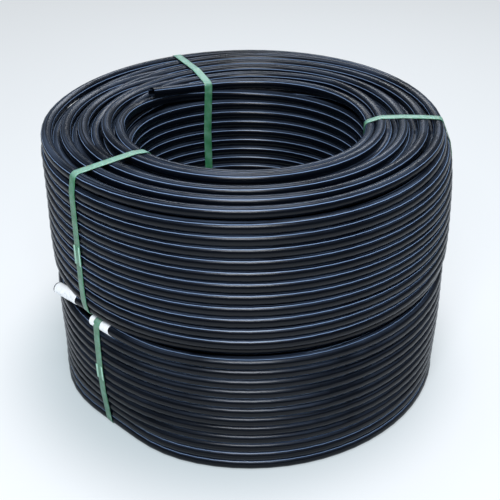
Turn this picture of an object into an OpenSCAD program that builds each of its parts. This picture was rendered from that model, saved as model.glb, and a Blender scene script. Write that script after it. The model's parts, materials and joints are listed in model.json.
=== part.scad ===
// Two strapped coils of small polyethylene irrigation pipe, stacked one on the other.
// Millimetres, +Z up. The origin is on the coils' common axis, on the surface they stand on.
// An azimuth is in degrees from -Y and grows counter-clockwise as seen from above.

/* [Pipe] */
// Outside diameter of the pipe
pipe_d = 20; // [14:0.5:32]
// Wall thickness of the pipe
pipe_wall = 2; // [1:0.1:3]
// Clear gap between turns that lie side by side
turn_gap = 0.5; // [0.45:0.05:1.5]

/* [Coils] */
// Diameter of the eye, the hole through both coils
eye_d = 425; // [320:5:700]
// Layers of pipe between the eye and the outside
layers = 9; // [6:1:12]
// Rows of pipe up the side of the upper coil
upper_rows = 13; // [6:1:18]
// Rows of pipe up the side of the lower coil
lower_rows = 12; // [6:1:18]
// Distance that the slumped hollow of the upper coil's top reaches past the eye at the back
dish_reach = 51; // [20:1:70]
// Distance of the hollow's centre behind the coils' axis
dish_shift = 61.5; // [40:0.5:90]
// Fall of the hollow for each millimetre towards its centre
dish_slope = 0.35; // [0.1:0.05:0.5]

/* [Pipe ends] */
// Length of the upper coil's loose outer end
upper_end_len = 71; // [70:1:120]
// Angle at which that end springs outwards
upper_end_flare = 8.2; // [6:0.1:15]
// Length of the lower coil's outer end
lower_end_len = 60; // [58:1:90]
// Angle at which the lower coil's outer end lies inside the tangent
lower_end_tuck = 4.5; // [4:0.1:5]
// Azimuth at which the lower coil's outer turn straightens into its end
lower_end_az = -36; // [-38:1:-34]
// Length of the upper coil's inner end
inner_end_len = 45; // [20:1:60]
// Angle at which the inner end rises
inner_end_rise = 12; // [8:1:15]
// Angle at which the inner end lies inside the tangent
inner_end_tuck = 8; // [6:1:12]

/* [End tape] */
// Length of pipe that each tape covers
tape_len = 56; // [20:1:56]
// Thickness of the wrapped tape
tape_t = 0.4; // [0.2:0.05:0.4]
// Bare pipe that shows past the upper coil's tape
tape_bare = 2.5; // [1:0.5:4]

/* [Straps] */
// Width of a strap
strap_w = 16; // [9:0.5:25]
// Thickness of a strap
strap_t = 0.9; // [0.6:0.1:1.2]
// Length of the welded overlap of a strap
seal_len = 32; // [20:1:50]
// Drop from the upper coil's top to the overlap
upper_seal_drop = 132; // [50:1:150]
// Drop from the lower coil's top to the overlap
lower_seal_drop = 95; // [50:1:150]
// Azimuth of the upper coil's left strap
upper_left_az = -49; // [-52:1:-46]
// Azimuth of the upper coil's right strap
upper_right_az = 86; // [70:1:100]
// Azimuth of the upper coil's back strap
upper_back_az = -154; // [-160:1:-150]
// Azimuth of the lower coil's left strap
lower_left_az = -45; // [-46:1:-44]
// Azimuth of the lower coil's right strap
lower_right_az = 90; // [70:1:110]
// Azimuth of the lower coil's back strap
lower_back_az = -165; // [-175:1:-150]

/* [Clearances] */
// Gap between pieces that lie on each other
clearance = 0.3; // [0.2:0.05:0.4]
// Gap between a strap's underside and the surface below it
strap_rest = 0.15; // [0.1:0.05:0.2]
// Gap between a strap and the turns that it passes over on top
strap_over = 1.0; // [0.9:0.1:2]
// Gap between a strap and the outermost turns
strap_bow = 1.5; // [1.4:0.1:3]
// Gap between a core and the outer turns wound on it
core_gap = 0.8; // [0.6:0.1:0.9]
// Gap between the tape and the pipe inside it
tape_gap = 0.05; // [0.02:0.01:0.05]

/* [Winding] */
// Rings of points in one loop of an outer winding
loop_rings = 24; // [16:4:24]
// Sides of the wound tube
loop_sides = 6; // [6:2:8]

/* [Hidden] */
$fn = 96;

pipe_black = "#171a21";
strap_green = "#4aa877";
tape_white = "#f1f2ee";

// Winding: the layers nest, so a layer adds less than a pitch to the radius.
pitch = pipe_d + turn_gap;
layer_step = pitch * cos(30);
eye_r = eye_d / 2;
r_inner = eye_r + pipe_d / 2;
r_outer = r_inner + (layers - 1) * layer_step;
coil_r = r_outer + pipe_d / 2;

// The wound tube's flats lie nearest to the core at the middle of a chord between two rings.
flat_r = pipe_d / 2 * cos(180 / loop_sides);
core_r = r_outer * cos(180 / loop_rings) - flat_r - core_gap;

// Heights: every coil stands on its core, and its turns start above the straps under it.
strap_seat = strap_rest + strap_t + clearance;
lower_top = strap_seat + lower_rows * pitch;
upper_base = lower_top + strap_over + strap_t + clearance;
upper_top = upper_base + strap_seat + upper_rows * pitch;
top_turn_z = upper_top - pitch / 2;
upper_core_top = top_turn_z - pipe_d / 2 - clearance;
end_twist_r = pipe_d / 2 + tape_gap + tape_t;

// How far a cutter runs past the face that it cuts.
cut_past = 1;

// A turn stays level and climbs one row between these two parts of its way round.
climb_from = 0.62;
climb_to = 0.92;

// The top turns spiral in from the outer layer to the inner end, a little apart.
top_spacing_least = 1.2;
top_part_turn = 0.75;
top_loops = floor((r_outer - r_inner) / (top_spacing_least * pitch) - top_part_turn) + top_part_turn;
top_spacing = (r_outer - r_inner) / top_loops;
helix_loops = upper_rows - 1;
lower_loops = lower_rows - 1 + 0.625;

dish_r = eye_r + dish_reach - dish_shift;
// The core's hollow is cut wider than the turns' own, which run straight between two rings.
dish_margin = 6;

function out_dir(az) = [sin(az), -cos(az), 0];
function ccw_dir(az) = [cos(az), sin(az), 0];
function smooth(x) = let (t = min(max(x, 0), 1)) t * t * (3 - 2 * t);
function climbed(s) = floor(s) + smooth((s - floor(s) - climb_from) / (climb_to - climb_from));
function dish(p) = dish_slope * max(0, dish_r - norm([p[0], p[1] - dish_shift]));
function side_axis(t) = let (n = cross(t, [0, 0, 1])) n / norm(n);

// Centre line of the upper coil's outer layer and top turns, s loops from its outer end.
function upper_at(s) =
    let (az = upper_left_az + 360 * s,
         in_spiral = max(0, s - helix_loops),
         p = (r_outer - top_spacing * in_spiral) * out_dir(az),
         z = min(top_turn_z, upper_base + strap_seat + pitch / 2 + pitch * climbed(s)))
    [p[0], p[1], in_spiral > 0 ? z - dish(p) : z];

// Centre line of the lower coil's outer layer, s loops down from its outer end.
function lower_at(s) =
    let (p = r_outer * out_dir(lower_end_az + 360 * s))
    [p[0], p[1], lower_top - pitch / 2 - pitch * climbed(s)];

// Directions in which the three modelled pipe ends point.
upper_inner_az = upper_left_az + 360 * (helix_loops + top_loops);
upper_end_dir = out_dir(upper_left_az) * sin(upper_end_flare)
                - ccw_dir(upper_left_az) * cos(upper_end_flare);
lower_end_lift = 0.6;
lower_end_dir = cos(lower_end_lift) * (-ccw_dir(lower_end_az) * cos(lower_end_tuck)
                - out_dir(lower_end_az) * sin(lower_end_tuck)) + [0, 0, sin(lower_end_lift)];
inner_end_dir = cos(inner_end_rise) * (ccw_dir(upper_inner_az) * cos(inner_end_tuck)
                - out_dir(upper_inner_az) * sin(inner_end_tuck)) + [0, 0, sin(inner_end_rise)];

upper_first = upper_at(0);
upper_last = upper_at(helix_loops + top_loops);
lower_first = lower_at(0);
lower_last = lower_at(lower_loops);
upper_joint = upper_first + pipe_d * upper_end_dir;
inner_joint = upper_last + pipe_d * inner_end_dir;
lower_joint = lower_first + pipe_d * lower_end_dir;

// A pipe end starts a clearance past the flat cap of the wound tube that it continues.
upper_seat = upper_joint + clearance * upper_end_dir;
inner_seat = inner_joint + clearance * inner_end_dir;
lower_seat = lower_joint + clearance * lower_end_dir;

lower_stop_dir = ccw_dir(lower_end_az + 360 * lower_loops);

upper_steps = round((helix_loops + top_loops) * loop_rings);
lower_steps = round(lower_loops * loop_rings);
upper_line = [for (k = [0:upper_steps]) upper_at(k / loop_rings)];
lower_line = [for (k = [0:lower_steps]) lower_at(k / loop_rings)];

// Each ring of the tube: its centre and the way that the pipe runs there.
upper_rings = concat([[upper_joint, -upper_end_dir]],
    [for (k = [0:upper_steps]) [upper_line[k], ccw_dir(upper_left_az + 360 * k / loop_rings)]],
    [[inner_joint, inner_end_dir]]);
lower_rings = concat([[lower_joint, -lower_end_dir]],
    [for (k = [0:lower_steps]) [lower_line[k], ccw_dir(lower_end_az + 360 * k / loop_rings)]],
    [[lower_last + pipe_d * lower_stop_dir, lower_stop_dir]]);

// Least gap of a wound tube to itself: from each point and each half-way point of the centre
// line to the same place one loop on, less the pipe's diameter.
function halfway(line) = [for (k = [0:len(line) - 2]) (line[k] + line[k + 1]) / 2];
function loop_gap(line) = min([for (k = [0:len(line) - 1 - loop_rings])
                               norm(line[k + loop_rings] - line[k])]) - pipe_d;
echo(upper_outer_turns_least_gap = min(loop_gap(upper_line), loop_gap(halfway(upper_line))));
echo(lower_outer_turns_least_gap = min(loop_gap(lower_line), loop_gap(halfway(lower_line))));
echo(wound_loops = helix_loops + top_loops + lower_loops,
     wound_triangles = 2 * loop_sides * (len(upper_rings) + len(lower_rings) - 2)
                       + 4 * (loop_sides - 2));

// An unbroken tube of flat-sided section through the rings, closed at both ends.
module wound_tube(rings) {
    n = loop_sides;
    last = len(rings) - 1;
    points = [for (ring = rings)
        let (side = side_axis(ring[1]), up = cross(side, ring[1]))
        for (k = [0:n - 1])
            ring[0] + pipe_d / 2 * (side * sin(360 * k / n) + up * cos(360 * k / n))];
    walls = [for (i = [0:last - 1]) for (k = [0:n - 1])
        let (a = i * n + k, b = i * n + (k + 1) % n)
        each [[a, b, b + n], [a, b + n, a + n]]];
    first_cap = [for (k = [1:n - 2]) [0, k + 1, k]];
    last_cap = [for (k = [1:n - 2]) [last * n, last * n + k, last * n + k + 1]];
    polyhedron(points = points, faces = concat(walls, first_cap, last_cap), convexity = 20);
}

// Stands a child that points along +Z at a place, along a direction.
module along(place, direction) {
    translate(place)
        rotate([0, acos(direction[2]), atan2(direction[1], direction[0])])
            children();
}

// Section of a core: a plain block faced at the eye with the round backs of its rows of pipe.
module core_section(height, rows) {
    translate([r_inner, 0])
        square([core_r - r_inner, height]);
    for (row = [0:rows - 1])
        translate([r_inner, strap_seat + pitch * (row + 0.5)])
            circle(d = pipe_d);
}

// Shallow channels under a core for the straps that pass below it.
module strap_channels(azimuths) {
    for (az = azimuths)
        rotate([0, 0, az - 90])
            translate([eye_r - pipe_d, -strap_w / 2 - clearance, -cut_past])
                cube([core_r - eye_r + 2 * pipe_d, strap_w + 2 * clearance,
                      strap_seat + cut_past]);
}

// Outline of a strap's loop round a coil's section, square to the coil's length.
module loop_outline(x0, y0, x1, y1, r) {
    translate([x0 + r, y0])
        square([x1 - x0 - 2 * r, y1 - y0]);
    translate([x0, y0 + r])
        square([x1 - x0, y1 - y0 - 2 * r]);
    for (x = [x0 + r, x1 - r])
        for (y = [y0 + r, y1 - r])
            translate([x, y])
                circle(r = r);
}

// One strap: a closed loop with its welded overlap on the outer side.
module strap(az, base, top, seal_drop) {
    bend_r = pipe_d / 4;
    x0 = eye_r - clearance;
    x1 = coil_r + strap_bow;
    y0 = base + strap_rest + strap_t;
    y1 = top + strap_over;
    rotate([0, 0, az - 90])
        rotate([90, 0, 0])
            translate([0, 0, -strap_w / 2])
                linear_extrude(height = strap_w) {
                    difference() {
                        loop_outline(x0 - strap_t, y0 - strap_t, x1 + strap_t, y1 + strap_t,
                                     bend_r + strap_t);
                        loop_outline(x0, y0, x1, y1, bend_r);
                    }
                    translate([x1, top - seal_drop - seal_len])
                        square([2 * strap_t, seal_len]);
                }
}

// A straight piece of open pipe.
module pipe_end(length) {
    difference() {
        cylinder(h = length, d = pipe_d);
        translate([0, 0, -cut_past])
            cylinder(h = length + 2 * cut_past, d = pipe_d - 2 * pipe_wall);
    }
}

module lower_coil_core() {
    color(pipe_black)
        difference() {
            rotate_extrude($fn = 180)
                core_section(lower_top, lower_rows);
            strap_channels([lower_left_az, lower_right_az, lower_back_az]);
        }
}

module lower_outer_turns() {
    color(pipe_black)
        wound_tube(lower_rings);
}

module lower_outer_end() {
    color(pipe_black)
        along(lower_seat, lower_end_dir)
            pipe_end(lower_end_len);
}

// The lower coil's tape closes the end of the pipe.
module lower_end_tape() {
    from = lower_end_len - tape_len;
    color(tape_white)
        along(lower_seat, lower_end_dir)
            difference() {
                translate([0, 0, from])
                    cylinder(h = tape_len + tape_gap + tape_t, r = end_twist_r);
                translate([0, 0, from - cut_past])
                    cylinder(h = tape_len + tape_gap + cut_past, r = pipe_d / 2 + tape_gap);
            }
}

module lower_strap_left() {
    color(strap_green)
        strap(lower_left_az, 0, lower_top, lower_seal_drop);
}

module lower_strap_right() {
    color(strap_green)
        strap(lower_right_az, 0, lower_top, lower_seal_drop);
}

module lower_strap_back() {
    color(strap_green)
        strap(lower_back_az, 0, lower_top, lower_seal_drop);
}

module upper_coil_core() {
    hollow_r = dish_r + dish_margin;
    color(pipe_black)
        difference() {
            translate([0, 0, upper_base])
                rotate_extrude($fn = 180)
                    core_section(upper_core_top - upper_base, upper_rows - 1);
            translate([0, 0, upper_base])
                strap_channels([upper_left_az, upper_right_az, upper_back_az]);
            translate([0, dish_shift, upper_core_top - dish_slope * hollow_r])
                cylinder(h = dish_slope * (hollow_r + pipe_d), r1 = 0, r2 = hollow_r + pipe_d,
                         $fn = 180);
        }
}

module upper_outer_turns() {
    color(pipe_black)
        wound_tube(upper_rings);
}

module upper_outer_end() {
    color(pipe_black)
        along(upper_seat, upper_end_dir)
            pipe_end(upper_end_len);
}

module upper_inner_end() {
    color(pipe_black)
        along(inner_seat, inner_end_dir)
            pipe_end(inner_end_len);
}

// The upper coil's tape is an open sleeve just behind the end of the pipe.
module upper_end_tape() {
    color(tape_white)
        along(upper_seat, upper_end_dir)
            translate([0, 0, upper_end_len - tape_bare - tape_len])
                difference() {
                    cylinder(h = tape_len, r = end_twist_r);
                    translate([0, 0, -cut_past])
                        cylinder(h = tape_len + 2 * cut_past, r = pipe_d / 2 + tape_gap);
                }
}

module upper_strap_left() {
    color(strap_green)
        strap(upper_left_az, upper_base, upper_top, upper_seal_drop);
}

module upper_strap_right() {
    color(strap_green)
        strap(upper_right_az, upper_base, upper_top, upper_seal_drop);
}

module upper_strap_back() {
    color(strap_green)
        strap(upper_back_az, upper_base, upper_top, upper_seal_drop);
}

lower_coil_core();
lower_outer_turns();
lower_outer_end();
lower_end_tape();
lower_strap_left();
lower_strap_right();
lower_strap_back();
upper_coil_core();
upper_outer_turns();
upper_outer_end();
upper_inner_end();
upper_end_tape();
upper_strap_left();
upper_strap_right();
upper_strap_back();
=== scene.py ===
import json
import math

import bmesh
import bpy
import numpy as np
from mathutils import Matrix, Vector, noise
from mathutils.geometry import convex_hull_2d, interpolate_bezier


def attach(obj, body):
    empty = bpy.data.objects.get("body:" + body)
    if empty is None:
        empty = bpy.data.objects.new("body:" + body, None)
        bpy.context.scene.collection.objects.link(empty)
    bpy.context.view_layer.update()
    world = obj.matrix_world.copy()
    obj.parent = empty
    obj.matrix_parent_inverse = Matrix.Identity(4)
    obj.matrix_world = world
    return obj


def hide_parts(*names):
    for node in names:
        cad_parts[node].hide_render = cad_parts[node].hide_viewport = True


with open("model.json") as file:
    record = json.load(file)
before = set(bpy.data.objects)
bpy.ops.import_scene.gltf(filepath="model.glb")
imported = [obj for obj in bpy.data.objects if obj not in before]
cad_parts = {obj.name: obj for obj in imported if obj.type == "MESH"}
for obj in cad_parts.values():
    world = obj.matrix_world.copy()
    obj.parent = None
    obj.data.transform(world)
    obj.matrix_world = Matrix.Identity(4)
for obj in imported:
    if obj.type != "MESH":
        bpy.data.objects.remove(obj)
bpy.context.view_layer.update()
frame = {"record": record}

# Camera. It stands in front of the coils and looks down over the near rim into the eye.
# The long lens keeps the two coils' sides nearly upright.
camera = bpy.data.objects.new("camera", bpy.data.cameras.new("camera"))
bpy.context.scene.collection.objects.link(camera)
bpy.context.scene.camera = camera
bpy.context.scene.view_settings.view_transform = "Standard"
camera.data.lens = 61.88
camera_place = (0, -1.4615, 1.1155)
camera_tilt = math.radians(58.72)
camera_roll = math.radians(-0.4)
camera.matrix_world = (Matrix.Translation(camera_place) @ Matrix.Rotation(camera_tilt, 4, "X")
                       @ Matrix.Rotation(camera_roll, 4, "Z"))


# Floor and light. A pale studio floor carries the coils, and a painted shadow darkens it softly
# round their foot. One soft box hangs over the eye, two narrow ones in front draw the thin
# highlights along the rows, and a wide one behind lights the tops of the far turns.
def tint(red, green, blue):
    """A colour written as screen values from 0 to 255, as the linear one that shaders take."""
    def linear(value):
        value /= 255
        return value / 12.92 if value < 0.04045 else ((value + 0.055) / 1.055) ** 2.4
    return (linear(red), linear(green), linear(blue), 1)


class Socket:
    """A shader socket in an expression: each operator adds the Math node for its sum."""

    def __init__(self, tree, link=None):
        self.tree = tree
        self.link = link

    def node(self, kind, settings=None, inputs=None, output=0):
        """Adds any other node: its settings are made first, then its sockets filled or linked."""
        made = self.tree.nodes.new("ShaderNode" + kind)
        for name, value in (settings or {}).items():
            setattr(made, name, value)
        self.fill(made, inputs or {})
        return Socket(self.tree, made.outputs[output])

    def fill(self, made, inputs):
        for name, value in inputs.items():
            if isinstance(value, Socket):
                self.tree.links.new(value.link, made.inputs[name])
            else:
                made.inputs[name].default_value = value

    def sum(self, operation, first, second=0.0):
        return self.node("Math", {"operation": operation}, {0: first, 1: second})

    def __add__(self, other):
        return self.sum("ADD", self, other)

    def __radd__(self, other):
        return self.sum("ADD", other, self)

    def __sub__(self, other):
        return self.sum("SUBTRACT", self, other)

    def __rsub__(self, other):
        return self.sum("SUBTRACT", other, self)

    def __mul__(self, other):
        return self.sum("MULTIPLY", self, other)

    def __rmul__(self, other):
        return self.sum("MULTIPLY", other, self)

    def step(self, low, high):
        """0 below low, 1 above high, and a smooth rise between them."""
        return self.node("MapRange", {"interpolation_type": "SMOOTHSTEP"},
                         {"Value": self, "From Min": low, "From Max": high})

    def blend(self, first, second):
        """The first colour where this is 0, the second where it is 1."""
        return self.node("Mix", {"data_type": "RGBA"}, {0: self, 6: first, 7: second}, output=2)

    def speckle(self, scale, detail=3.0):
        """Noise from 0 to 1 at this place."""
        return self.node("TexNoise", None, {"Vector": self, "Scale": scale, "Detail": detail})


def new_material(name):
    """A new material, the place on the object to build its pattern from, and its shader."""
    material = bpy.data.materials.new(name)
    material.use_nodes = True
    place = Socket(material.node_tree).node("TexCoord", output="Object")
    return material, place, material.node_tree.nodes["Principled BSDF"]


floor_half = 9.0
painted_shadow_grey = tint(196, 209, 214)
floor_light = tint(246, 250, 253)
floor_lift = 0.62
painted_shadow_middle = (-0.04, 0, 0)
painted_shadow_full_r, painted_shadow_end_r = 0.31, 0.52
floor_mesh = bpy.data.meshes.new("floor")
grid = bmesh.new()
bmesh.ops.create_grid(grid, x_segments=2, y_segments=2, size=floor_half)
grid.to_mesh(floor_mesh)
grid.free()
floor = bpy.data.objects.new("floor", floor_mesh)
bpy.context.scene.collection.objects.link(floor)
floor_material, place, shader = new_material("studio_floor")
# Painted shadow: the floor's colour is grey near the coils' middle and fades to pale 0.52 m out.
# It stands in for the contact shadow that the camera-ray glow washes out, and the glow takes the
# same colour.
from_coils = place.node("VectorMath", {"operation": "DISTANCE"}, {0: place, 1: painted_shadow_middle},
                        output="Value")
shade = (0.1 + 0.9 * from_coils.step(painted_shadow_full_r, painted_shadow_end_r)).blend(painted_shadow_grey, floor_light)
place.fill(shader, {"Base Color": shade, "Roughness": 0.9, "Specular IOR Level": 0.1})
seen = (place.node("LightPath", output="Is Camera Ray")
        + 0.1 * place.node("LightPath", output="Is Glossy Ray"))
glow = place.node("Emission", None, {"Color": shade, "Strength": 1.0})
lit = Socket(floor_material.node_tree, shader.outputs["BSDF"])
mixed = place.node("MixShader", None, {0: seen * floor_lift, 1: lit, 2: glow})
place.fill(floor_material.node_tree.nodes["Material Output"], {"Surface": mixed})
floor_mesh.materials.append(floor_material)

world_light, world_lift = 0.2, 0.7
world = bpy.data.worlds.new("studio")
world.use_nodes = True
world.node_tree.nodes["Background"].inputs["Color"].default_value = tint(225, 235, 245)
seen = Socket(world.node_tree).node("LightPath", output="Is Camera Ray")
seen.fill(world.node_tree.nodes["Background"], {"Strength": world_light + world_lift * seen})
bpy.context.scene.world = world

lamp_colour = tint(243, 248, 255)[:3]
for name, power, size, spot, aim in (
        ("soft_box_over", 24.0, (1.4, 0.5), (0.1, 0.3, 2.5), (0.0, 0.0, 0.4)),
        ("soft_box_front", 20.0, (0.9, 0.12), (0.0, -1.35, 2.4), (0.0, -0.3, 0.3)),
        ("soft_box_low", 38.0, (1.0, 0.12), (-0.1, -1.75, 1.95), (0.0, -0.3, 0.2)),
        ("soft_box_behind", 15.0, (1.8, 0.25), (0.3, 2.2, 1.9), (0.0, 0.0, 0.4))):
    lamp = bpy.data.lights.new(name, "AREA")
    lamp.shape = "RECTANGLE"
    lamp.color = lamp_colour
    lamp.energy = power
    lamp.size, lamp.size_y = size
    lamp_object = bpy.data.objects.new(name, lamp)
    bpy.context.scene.collection.objects.link(lamp_object)
    lamp_object.location = spot
    aim_line = Vector(aim) - Vector(spot)
    lamp_object.rotation_euler = aim_line.to_track_quat("-Z", "Y").to_euler()


# Upper coil's pipe. One length of black polyethylene pipe, 20 mm across with a 2 mm wall and
# thin blue stripes, wound from the eye outwards in nine layers, up and down by turns. Four
# turns cross over the top, and both ends are cut square and left open.
pipe_r = 0.010
pipe_wall = 0.002
pipe_sides = 16
pitch = 0.0205
eye_r = 0.2125
outer_layer = 9
upper_top = 0.5174
upper_rows = 13

# Radii, in pitches, of the turns that cross the top: at the back, right, front, left and back.
over_top = ((11.95, 11.65, 11.95, 12.6, 12.75), (13.2, 13.5, 14.1, 14.6, 14.3),
            (14.9, 15.25, 15.7, 16.1, 16.0), (16.6, 16.6, 17.35, 17.7, 17.9))
# The row that each of them drops into, at the right and front.
row_after = ((12.5, 12.15), (14.3, 14.0), (15.85, 15.7), (17.78, 17.78))
# The row that climbs into each of them, at the front and left.
row_before = ((11.5, 12.0), (13.05, 13.6), (14.9, 15.2), (16.5, 16.85))
# How a layer's last row steps out and up into the next layer.
step_out = ((0.75, 0.1), (0.95, 0.2), (0.95, 0.3))
# Points of the centre line in a quarter turn, on the turns that show and on the buried ones.
shown_steps, buried_steps = 18, 10


def layer_r(layer):
    """Radius of a layer's centre line, in pitches: the layers lie in each other's grooves."""
    return eye_r / pitch + 0.5 + (layer - 1) * math.cos(math.radians(30))


def wound(rows, loose_turn, wall_from, row_fall, last_over):
    """Radius and depth under the coil's face, in pitches, at each quarter turn from the back."""
    bed = rows - 0.5
    knots = list(loose_turn)
    for row in range(int(bed - wall_from) + 1):
        knots += [(layer_r(1), min(bed, wall_from + row + fall)) for fall in (0, 0, 0, 0.15)]
    knots += [(layer_r(1) + out, bed - up) for out, up in step_out[:2]]
    crossings = list(zip(over_top[:3] + (last_over,), row_before, row_after))
    for number, (over, before, after) in enumerate(crossings):
        even, odd = 2 * number + 2, 2 * number + 3
        highest = 1.1 if number else 1.5
        quarters = 4 * (rows - 2 if number else rows - 3)
        rise = (bed - 0.5 - highest) / quarters
        knots += [(layer_r(even), bed - 0.5 - rise * quarter) for quarter in range(quarters)]
        knots += [(before[0], highest), (before[1], highest + 0.1)]
        knots += [(radius, 0.5) for radius in over[:4]]
        knots += [(over[4], 1.35 if odd < outer_layer else 0.6)]
        knots += [(after[0], 1 + max(0.3, row_fall[1])), (after[1], 1.5)]
        knots += [(layer_r(odd), 1 + quarter // 4 + row_fall[quarter % 4])
                  for quarter in range(3, 4 * rows - 5)]
        if odd < outer_layer:
            knots += [(layer_r(odd) + out, bed - up) for out, up in step_out]
    return knots


def between(knots, at):
    """A smooth curve through the knots, at a count of quarter turns."""
    first = min(int(at), len(knots) - 2)
    part = at - first
    a, b, c, d = (Vector(knots[min(max(first + k, 0), len(knots) - 1)]) for k in range(-1, 3))
    return b + 0.5 * part * (c - a + part * (2 * a - 5 * b + 4 * c - d
                                             + part * (3 * b - 3 * c + d - a)))


def out_from_axis(azimuth):
    """The level direction at an azimuth, counted in degrees from the front, to the right."""
    turn = math.radians(azimuth)
    return Vector((math.sin(turn), -math.cos(turn), 0))


def outer_share(radius):
    """0 in the innermost layer, 1 in the outermost."""
    return max(0, radius - layer_r(1)) / (layer_r(outer_layer) - layer_r(1))


def near(value, middle, width):
    """A smooth bump: 1 at the middle, about a third one width away from it."""
    return math.exp(-((value - middle) / width) ** 2)


def shows(knot):
    """True on the turns that line the coil's outside."""
    radius, depth = knot
    return radius < layer_r(1) + 0.5 or radius > layer_r(outer_layer) - 1 or depth < 1.8


def centre_line(knots, rows, last_part, height, settled):
    """Points along the pipe, clockwise seen from above: close on the turns that show."""
    line = []
    for first in range(len(knots) - 1):
        steps = shown_steps if shows(knots[first]) or shows(knots[first + 1]) else buried_steps
        length = last_part if first == len(knots) - 2 else 1
        for step in range(round(steps * length)):
            at = first + step / steps
            radius, depth = between(knots, at)
            radius, depth = settled(at, radius, min(rows - 0.5, max(0.5, depth)))
            place = pitch * radius * out_from_axis(180 - 90 * at)
            place.z = height(depth)
            line.append(place)
    return line


def run_into(line, seat):
    """The line with a smooth bend from its last point into a straight end's start."""
    start, towards = line[-1], (seat[1] - seat[0]).normalized()
    leaving = (line[-1] - line[-2]).normalized()
    third = (seat[0] - start).length / 3
    bend_points = 16
    bend = interpolate_bezier(start, start + third * leaving, seat[0] - third * towards,
                              seat[0], bend_points)
    end_length = (seat[1] - seat[0]).length
    return line + bend[1:] + [seat[0] + towards * end_length * part for part in (0.5, 1)]


def mouth(shape, ring, depth):
    """Turns the open rim of a tube into a cut pipe end with its wall and a bore."""
    centre = sum((vert.co for vert in ring), Vector()) / len(ring)
    rim = [edge for edge in shape.edges if edge.is_boundary and set(edge.verts) <= set(ring)]
    next_vert = next(edge.other_vert(ring[0]) for edge in ring[0].link_edges
                     if edge.other_vert(ring[0]) not in ring)
    inward = (next_vert.co - ring[0].co).normalized()
    for edge in rim:
        edge.smooth = False
    for scale, move in ((1 - pipe_wall / pipe_r, 0), (1, depth)):
        grown = bmesh.ops.extrude_edge_only(shape, edges=rim)["geom"]
        verts = [part for part in grown if isinstance(part, bmesh.types.BMVert)]
        rim = [part for part in grown if isinstance(part, bmesh.types.BMEdge)
               and part.is_boundary and set(part.verts) <= set(verts)]
        bmesh.ops.scale(shape, verts=verts, vec=(scale, scale, scale),
                        space=Matrix.Translation(-centre))
        bmesh.ops.translate(shape, verts=verts, vec=inward * move)
        for edge in rim:
            edge.smooth = False
    bmesh.ops.holes_fill(shape, edges=rim)


def pipe_piece(name, line, stripe_roll, bores):
    """A tube along the line, its UV map in pipe lengths and turns round the pipe."""
    curve = bpy.data.curves.new(name, "CURVE")
    curve.dimensions = "3D"
    curve.twist_mode = "Z_UP"
    curve.bevel_depth = pipe_r
    curve.bevel_resolution = (pipe_sides - 4) // 2
    spline = curve.splines.new("POLY")
    spline.points.add(len(line) - 1)
    for point, place in zip(spline.points, line):
        point.co = (*place, 1)
    carrier = bpy.data.objects.new(name + "_line", curve)
    bpy.context.scene.collection.objects.link(carrier)
    bpy.context.view_layer.update()
    mesh = bpy.data.meshes.new_from_object(
        carrier.evaluated_get(bpy.context.evaluated_depsgraph_get()))
    bpy.data.objects.remove(carrier)
    corners = len(mesh.loops)
    rings = np.zeros(corners, np.int32)
    mesh.loops.foreach_get("vertex_index", rings)
    rings //= pipe_sides
    spots = np.zeros(2 * corners, np.float32)
    mesh.uv_layers[0].data.foreach_get("uv", spots)
    gaps = [0.0] + [(b - a).length for a, b in zip(line, line[1:])]
    spots[0::2] = np.cumsum(gaps)[rings]
    spots[1::2] -= np.array([stripe_roll(place) for place in line])[rings] / 360
    mesh.uv_layers[0].data.foreach_set("uv", spots)
    mesh.shade_smooth()
    shape = bmesh.new()
    shape.from_mesh(mesh)
    shape.verts.ensure_lookup_table()
    ends = [shape.verts[:pipe_sides], shape.verts[len(shape.verts) - pipe_sides:]]
    for ring, depth in zip(ends, bores):
        mouth(shape, ring, depth)
    bmesh.ops.recalc_face_normals(shape, faces=shape.faces)
    shape.to_mesh(mesh)
    shape.free()
    mesh.name = name
    piece = bpy.data.objects.new(name, mesh)
    bpy.context.scene.collection.objects.link(piece)
    return piece


def bore_seat(name):
    """Where a pipe end starts and where its mouth is, from the mount's middle and axis."""
    mount = next(mount for mount in frame["record"]["mounts"] if mount["name"] == name)
    middle, half = Vector(mount["pos_m"]), mount["dims"]["length_mm"] / 2000
    return middle - half * Vector(mount["axis"]), middle + half * Vector(mount["axis"])


def upper_settled(at, radius, depth):
    """A turn's radius and depth, in pitches, once the coil is strapped and stacked."""
    azimuth = (360 - 90 * at) % 360 - 180
    outer = outer_share(radius)
    # The top rows have slumped towards the eye at the back.
    hollow_r, behind, slope = 9.854, 3.0, 0.35
    place = radius * out_from_axis(azimuth)
    past_wall = min(1, max(0, (at - 50) / 4))
    fade = min(1, max(0, (4 - depth) / 2))
    reach = hollow_r - math.hypot(place.x, place.y - behind)
    slump = past_wall * fade * slope * max(0, reach)
    # At the right the strap has drawn the rows under the top turns in.
    under_top = min(1, max(0, (depth - 0.7) / 0.5))
    drawn_in = under_top * near(azimuth, 75, 45) * math.exp((1.2 - depth) / 1.6)
    flattened = (1 - under_top) * 0.5 * near(azimuth, 48, 28) * outer ** 3
    # The far turns lie a little askew, and the middle rows stand proud.
    far_right = math.sin(math.radians(azimuth)) * max(0, -math.cos(math.radians(azimuth)))
    proud = 0.17 * near(depth, 10, 4)
    # The lowest rows hang down at the front.
    hang = 0.055 * max(0, depth - 7) * max(0, math.cos(math.radians(azimuth))) ** 2
    # The left strap has pulled the loose turn down and away from the eye.
    pulled = (at < 4) * near(azimuth, -50, 30)
    # The top turns lie in a flat arch under the right strap.
    arch = (1 - under_top) * 0.12 * near(azimuth, 86, 40) * ((radius - 14.6) / 3) ** 2
    return (radius + 0.15 * pulled - outer * drawn_in - flattened
            + outer ** 4 * (0.6 * far_right + proud), depth + slump + hang + 0.06 * pulled + arch)


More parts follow.
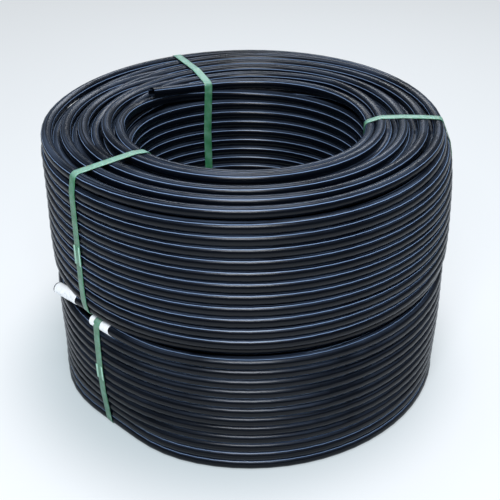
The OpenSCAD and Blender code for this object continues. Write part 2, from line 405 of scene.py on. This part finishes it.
# The loose first turn lies on the rim of the eye, slumped at the back, before the wall starts.
upper_loose = ((10.9, 1.2), (10.72, 0.8), (11.0, 0.7), (11.35, 0.75))
upper_knots = wound(upper_rows, upper_loose, 2.4, (0, 0.25, 0.5, 0.75), over_top[3])
upper_knots[-1] = (17.1, upper_rows - 0.5)
upper_knots.append((18.2, upper_rows - 0.5))
upper_line = centre_line(upper_knots, upper_rows, 0.45, lambda depth: upper_top - pitch * depth,
                         upper_settled)
upper_line = run_into(upper_line, bore_seat("upper_outer_end_bore"))
upper_line = run_into(upper_line[::-1], bore_seat("upper_inner_end_bore"))[::-1]


def upper_roll(place):
    """Degrees that the stripes are turned by: more outwards on top than down the side."""
    on_top = min(1, max(0, (place.z - (upper_top - 1.25 * pitch)) / (0.5 * pitch)))
    in_eye = place.xy.length < 11.4 * pitch
    wander = 3 * math.sin(9 * place.x + 40 * place.z) + 2 * math.sin(17 * place.y - 23 * place.z)
    return wander - (30 if in_eye else 10) * max(on_top, in_eye)


bore_depth = 0.05
upper_pipe = pipe_piece("upper_pipe", upper_line, upper_roll, (bore_depth, bore_depth))
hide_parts("upper_coil_core", "upper_outer_turns", "upper_outer_end",
            "upper_inner_end")
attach(upper_pipe, "upper_coil")

pipe_material, place, shader = new_material("black_polyethylene")
pipe_colour = tint(3, 6, 13)
dust_and_highlight_colour = tint(88, 102, 124)
stripe_colour = tint(140, 163, 190)
stripe_edge = tint(22, 40, 76)
stripe_count = 3
stripe_width, stripe_blur = 0.0008, 0.0010
stripe_at = 0.9375 + 52 / 360 - 1
around = place.node("UVMap", {"uv_map": "UVMap"})
split = around.node("SeparateXYZ", None, {0: around}, output="Y")
from_stripe = split.sum("PINGPONG", split - stripe_at, 0.5 / stripe_count)
girth = 2 * math.pi * pipe_r
stripe = 1 - from_stripe.step(0.3 * stripe_width / girth, 0.6 * stripe_width / girth)
blur = 1 - from_stripe.step(0.5 * stripe_width / girth,
                            (0.5 * stripe_width + stripe_blur) / girth)
# Dust and painted highlight: where the pipe faces up it is paled in streaks towards a bluish grey.
# This is partly dust and partly a painted stand-in for the broad highlights on the top turns.
upward = place.node("SeparateXYZ", None, {0: place.node("TexCoord", output="Normal")}, output="Z")
streak = around.node("Mapping", None, {"Vector": around, "Scale": (0.8, 6, 1)}).speckle(4.0)
dust_and_painted_highlight = upward.step(0.4, 1.0) * streak.step(0.3, 0.7) * place.speckle(9.0, 5.0).step(0.2, 0.6)
scuff = place.speckle(240.0, 2.0)
body = (0.5 * dust_and_painted_highlight).blend(pipe_colour, dust_and_highlight_colour)
place.fill(shader, {
    "Base Color": stripe.blend(blur.blend(body, stripe_edge), stripe_colour),
    "Roughness": 0.25,
    "Specular IOR Level": 0.2,
    "Normal": place.node("Bump", None, {"Strength": 0.05, "Distance": 0.0004, "Height": scuff})})
upper_pipe.data.materials.clear()
upper_pipe.data.materials.append(pipe_material)


# Lower coil's pipe. The same pipe in twelve rows, with its outer end on the top row. Its rows
# lie level at the front and step up by one at the back. Its inner end is underneath.
lower_rows = 12
lower_base = 0.00135
lower_top = 0.24735
lower_loose = ((10.87, 0.5), (10.87, 0.5), (10.87, 0.5), (10.87, 0.7))
level_fall = (0, 0.45, 0.5, 0.55)
lower_last_over = (17.0, 17.78, 17.78, 17.78, 17.78)
lower_knots = wound(lower_rows, lower_loose, 1.5, level_fall, lower_last_over)
lower_knots.append((layer_r(outer_layer), lower_rows - 0.5))


def lower_settled(at, radius, height):
    """A turn's radius and height, in pitches, once the coil is strapped and loaded."""
    azimuth = (360 - 90 * at) % 360 - 180
    # The middle rows stand proud, and the left strap has drawn the lowest ones in.
    proud = 0.13 * near(height, 7, 4)
    strapped = near(height, 0.5, 3) * (0.3 * near(azimuth, -70, 14) - 0.6 * near(azimuth, -43, 14))
    # The load presses the front down a little.
    press = 0.155 * height / (lower_rows - 0.5) * max(0, math.cos(math.radians(azimuth))) ** 2
    return radius + outer_share(radius) ** 4 * (proud + strapped), height - press


lower_line = centre_line(lower_knots, lower_rows, 0.3, lambda depth: lower_base + pitch * depth,
                         lower_settled)

# The end leaves the top row a little inside the tangent and rises very slightly.
lower_end_az = -36
lower_end_tuck, lower_end_lift = math.radians(4.5), math.radians(0.6)
lower_end_length = 0.0555
past_turn = 2 * pipe_r + 0.0003
out = out_from_axis(lower_end_az)
back_along = Vector((0, 0, 1)).cross(out) * -1
lower_end_dir = (math.cos(lower_end_lift) * (math.cos(lower_end_tuck) * back_along
                 - math.sin(lower_end_tuck) * out) + Vector((0, 0, math.sin(lower_end_lift))))
lower_turn_end = pitch * layer_r(outer_layer) * out + Vector((0, 0, lower_top - pitch / 2))
lower_seat = lower_turn_end + past_turn * lower_end_dir
lower_line = run_into(lower_line, (lower_seat, lower_seat + lower_end_length * lower_end_dir))


def lower_roll(place):
    """Degrees that the lower coil's stripes are turned by."""
    wander = 3 * math.sin(8 * place.x + 45 * place.z) + 2 * math.sin(15 * place.y - 31 * place.z)
    return wander + 25 * min(1, max(0, (place.z - 0.035) / 0.03))


lower_pipe = pipe_piece("lower_pipe", lower_line, lower_roll, (bore_depth, bore_depth))
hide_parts("lower_coil_core", "lower_outer_turns", "lower_outer_end")
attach(lower_pipe, "lower_coil")
lower_pipe.data.materials.clear()
lower_pipe.data.materials.append(pipe_material)


# Straps. Each coil is bound by three loops of 16 mm green plastic strap with a fine embossed
# diamond grid, with a painted highlight that pales it on top. A loop is drawn tight over the
# turns, and its overlap is welded on the outside, where its edges carry a pale painted highlight.
strap_width = 0.016
strap_thick = 0.0009
strap_clear = 0.0003
seal_length = 0.032
# How far inside its outermost point a strap still counts as lying on the coil's outer side.
seal_reach = 0.02
seal_spread = 0.0008
# Parts across a strap's width, and the longest part along it.
strap_across = 4
strap_along = 0.012


def cut_through(line, azimuth):
    """Radius and height at which a wound line passes through an upright half-plane."""
    out = out_from_axis(azimuth)
    side = Vector((-out.y, out.x, 0))
    cuts = []
    for here, there in zip(line, line[1:]):
        if (here.dot(side) < 0) != (there.dot(side) < 0) and here.dot(out) > 0:
            part = here.dot(side) / (here.dot(side) - there.dot(side))
            spot = here.lerp(there, part)
            cuts.append((spot.dot(out), spot.z))
    return cuts


def strap_piece(name, line, azimuth, seal_top, drift):
    """A tight closed band round the coil's section, with its welded overlap outside."""
    lie = pipe_r + strap_clear + strap_thick / 2
    section = [(radius + lie * math.cos(math.radians(turn)),
                height + lie * math.sin(math.radians(turn)))
               for radius, height in cut_through(line, azimuth) for turn in range(0, 360, 12)]
    hull = [section[index] for index in convex_hull_2d(section)]
    path = []
    for (r0, z0), (r1, z1) in zip(hull, hull[1:] + hull[:1]):
        steps = max(1, round(math.hypot(r1 - r0, z1 - z0) / strap_along))
        path += [(r0 + (r1 - r0) * k / steps, z0 + (z1 - z0) * k / steps) for k in range(steps)]
    out = out_from_axis(azimuth)
    side = Vector((-out.y, out.x, 0))
    shape = bmesh.new()
    verts = [shape.verts.new(out * radius + Vector((0, 0, height))
                             + side * drift(radius, height)) for radius, height in path]
    edges = [shape.edges.new(pair) for pair in zip(verts, verts[1:] + verts[:1])]
    rim = edges
    bmesh.ops.translate(shape, verts=verts, vec=-side * strap_width / 2)
    for _ in range(strap_across):
        grown = bmesh.ops.extrude_edge_only(shape, edges=rim)["geom"]
        moved = [part for part in grown if isinstance(part, bmesh.types.BMVert)]
        rim = [part for part in grown if isinstance(part, bmesh.types.BMEdge)
               and set(part.verts) <= set(moved)]
        bmesh.ops.translate(shape, verts=moved, vec=side * strap_width / strap_across)
    outside = max(radius for radius, height in path)
    on_seal = [face for face in shape.faces
               if face.calc_center_median().dot(out) > outside - seal_reach
               and seal_top - seal_length < face.calc_center_median().z < seal_top]
    overlap = bmesh.ops.duplicate(shape, geom=on_seal)["geom"]
    verts = [part for part in overlap if isinstance(part, bmesh.types.BMVert)]
    # The overlap is a little wider than the strap under it, and its edges curl outwards.
    for vert in verts:
        aside = vert.co.dot(side) - drift(vert.co.dot(out), vert.co.z)
        part = aside / (strap_width / 2)
        vert.co += seal_spread * part * side + (1.05 + 0.9 * part ** 4) * strap_thick * out
    # The faces near the overlap's edges take the second material, a pale painted highlight.
    for face in (part for part in overlap if isinstance(part, bmesh.types.BMFace)):
        middle = face.calc_center_median()
        aside = middle.dot(side) - drift(middle.dot(out), middle.z)
        face.material_index = int(abs(aside) > strap_width / 4)
    bmesh.ops.recalc_face_normals(shape, faces=shape.faces)
    mesh = bpy.data.meshes.new(name)
    shape.to_mesh(mesh)
    shape.free()
    mesh.shade_smooth()
    piece = bpy.data.objects.new(name, mesh)
    bpy.context.scene.collection.objects.link(piece)
    thicken = piece.modifiers.new("thickness", "SOLIDIFY")
    thicken.thickness = strap_thick
    thicken.offset = 0
    soften = piece.modifiers.new("soft_edges", "BEVEL")
    soften.width = 0.0002
    soften.segments = 1
    soften.limit_method = "ANGLE"
    mesh.materials.append(strap_material)
    mesh.materials.append(weld_highlight_material)
    return piece


strap_material, place, shader = new_material("green_strapping")
strap_colour = tint(46, 112, 72)
strap_pale = tint(102, 152, 126)
strap_painted_highlight = tint(146, 184, 170)
grid_size = 420.0
lines = place.node("TexVoronoi", {"distance": "MANHATTAN"},
                   {"Vector": place, "Scale": grid_size}, output="Distance")
cloudy = place.speckle(60.0, 3.0)
upward = place.node("SeparateXYZ", None, {0: place.node("TexCoord", output="Normal")}, output="Z")
# Painted highlight: where the strap faces up, its colour is paled towards a whitish green for the
# bright light on its top.
place.fill(shader, {
    "Base Color": (0.6 * upward.step(0.3, 0.9)).blend(
        cloudy.step(0.3, 0.8).blend(strap_colour, strap_pale), strap_painted_highlight),
    "Roughness": 0.3 + 0.1 * cloudy,
    "Specular IOR Level": 0.7,
    "Subsurface Weight": 0.15,
    "Subsurface Scale": 0.004,
    "Normal": place.node("Bump", None, {"Strength": 0.5, "Distance": 0.0003, "Height": lines})})

# Painted highlight: the overlap's edge faces take this pale colour in place of glints on their
# raised lips.
weld_highlight_material, place, shader = new_material("green_strap_weld_highlight")
weld_edge_highlight = tint(168, 214, 190)
place.fill(shader, {"Base Color": weld_edge_highlight, "Roughness": 0.35})


def skewed(radius, height):
    """How far the upper back strap lies to the left of its half-plane, its inner corner least."""
    outward = min(1, max(0, (radius - eye_r) / 0.16))
    return 0.013 * outward - 0.006 * min(1, max(0, (height - 0.40) / 0.11))


def foot_aside(radius, height):
    """How far the lower left strap's foot lies to the left of its half-plane."""
    return -0.012 * min(1, max(0, 1 - height / 0.12))


for coil, line, face, drop, azimuths in (
        ("lower", lower_line, lower_top, 0.095, (-45, 90, -165)),
        ("upper", upper_line, upper_top, 0.132, (-49, 86, -156))):
    for side_name, azimuth in zip(("left", "right", "back"), azimuths):
        drift = {"upper_back": skewed, "lower_left": foot_aside}.get(
            f"{coil}_{side_name}", lambda radius, height: 0)
        strap = strap_piece(f"{coil}_strap_band_{side_name}", line, azimuth, face - drop, drift)
        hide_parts(f"{coil}_strap_{side_name}")
        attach(strap, f"{coil}_coil")


# End tapes. White adhesive tape, wrapped in overlapping turns round each outer pipe end. The
# upper one is an open sleeve just short of the mouth, and the lower one closes the end.
tape_r = pipe_r + 0.00045
tape_length = 0.056
tape_thick = 0.00035
wrap_width = 0.019
lap_height, crease_height = 0.00022, 0.00025
# The gathered end's rings: each one's radius as a share of the tape's, and its rise.
gathers = ((0.94, 0.0014), (0.8, 0.0015), (0.62, 0.001), (0.35, 0.0006))


def tape_piece(name, start, towards, closed):
    """A wrapped tube of tape from its start along the pipe, with a gathered end if closed."""
    segments, cuts = 48, 44
    shape = bmesh.new()
    bmesh.ops.create_cone(shape, segments=segments, radius1=tape_r, radius2=tape_r,
                          depth=tape_length, cap_ends=False)
    long_edges = [edge for edge in shape.edges if abs(edge.verts[0].co.z - edge.verts[1].co.z)
                  > tape_length / 2]
    bmesh.ops.subdivide_edges(shape, edges=long_edges, cuts=cuts)
    bmesh.ops.translate(shape, verts=shape.verts, vec=(0, 0, tape_length / 2))
    if closed:
        for inset, rise in gathers:
            rim = [edge for edge in shape.edges if edge.is_boundary
                   and edge.verts[0].co.z > tape_length / 2]
            grown = bmesh.ops.extrude_edge_only(shape, edges=rim)["geom"]
            verts = [part for part in grown if isinstance(part, bmesh.types.BMVert)]
            width = tape_r * inset / verts[0].co.xy.length
            bmesh.ops.scale(shape, verts=verts, vec=(width, width, 1))
            bmesh.ops.translate(shape, verts=verts, vec=(0, 0, rise))
        rim = [edge for edge in shape.edges if edge.is_boundary
               and edge.verts[0].co.z > tape_length / 2]
        bmesh.ops.holes_fill(shape, edges=rim)
    for vert in shape.verts:
        angle = math.atan2(vert.co.y, vert.co.x) / (2 * math.pi)
        wrap = (vert.co.z / wrap_width + angle) % 1
        lap = lap_height * max(0, 1 - wrap / 0.55)
        crease = crease_height * noise.noise(Vector((vert.co.x * 260, vert.co.y * 260,
                                                     vert.co.z * 130)))
        stretch = 1 + (lap + abs(crease)) / tape_r
        vert.co.x *= stretch
        vert.co.y *= stretch
        if closed:
            slant = max(0, 1 - vert.co.z / (tape_length * 0.35))
            vert.co.z += slant * 0.010 * (0.5 + 0.5 * math.sin(2 * math.pi * angle + 0.8))
    bmesh.ops.recalc_face_normals(shape, faces=shape.faces)
    turn = towards.to_track_quat("Z", "Y").to_matrix().to_4x4()
    bmesh.ops.transform(shape, matrix=Matrix.Translation(start) @ turn, verts=shape.verts)
    mesh = bpy.data.meshes.new(name)
    shape.to_mesh(mesh)
    shape.free()
    mesh.shade_smooth()
    mesh.materials.append(tape_material)
    piece = bpy.data.objects.new(name, mesh)
    bpy.context.scene.collection.objects.link(piece)
    thicken = piece.modifiers.new("thickness", "SOLIDIFY")
    thicken.thickness = tape_thick
    thicken.offset = -1
    return piece


tape_material, place, shader = new_material("white_tape")
tape_white = tint(252, 253, 253)
tape_grey = tint(228, 234, 234)
smear = place.speckle(160.0, 4.0)
place.fill(shader, {
    "Base Color": smear.step(0.45, 0.75).blend(tape_white, tape_grey),
    "Roughness": 0.42 + 0.15 * smear,
    "Normal": place.node("Bump", None, {"Strength": 0.35, "Distance": 0.0004,
                                        "Height": place.speckle(420.0, 3.0)})})

bare_past_tape = 0.0025
upper_seat, upper_mouth = bore_seat("upper_outer_end_bore")
upper_dir = (upper_mouth - upper_seat).normalized()
upper_tape = tape_piece("upper_tape_sleeve",
                        upper_mouth - (bare_past_tape + tape_length) * upper_dir, upper_dir, False)
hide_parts("upper_end_tape")
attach(upper_tape, "upper_coil")

lower_mouth = lower_seat + lower_end_length * lower_end_dir
lower_tape = tape_piece("lower_tape_cap", lower_mouth - tape_length * lower_end_dir,
                        lower_end_dir, True)
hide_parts("lower_end_tape")
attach(lower_tape, "lower_coil")
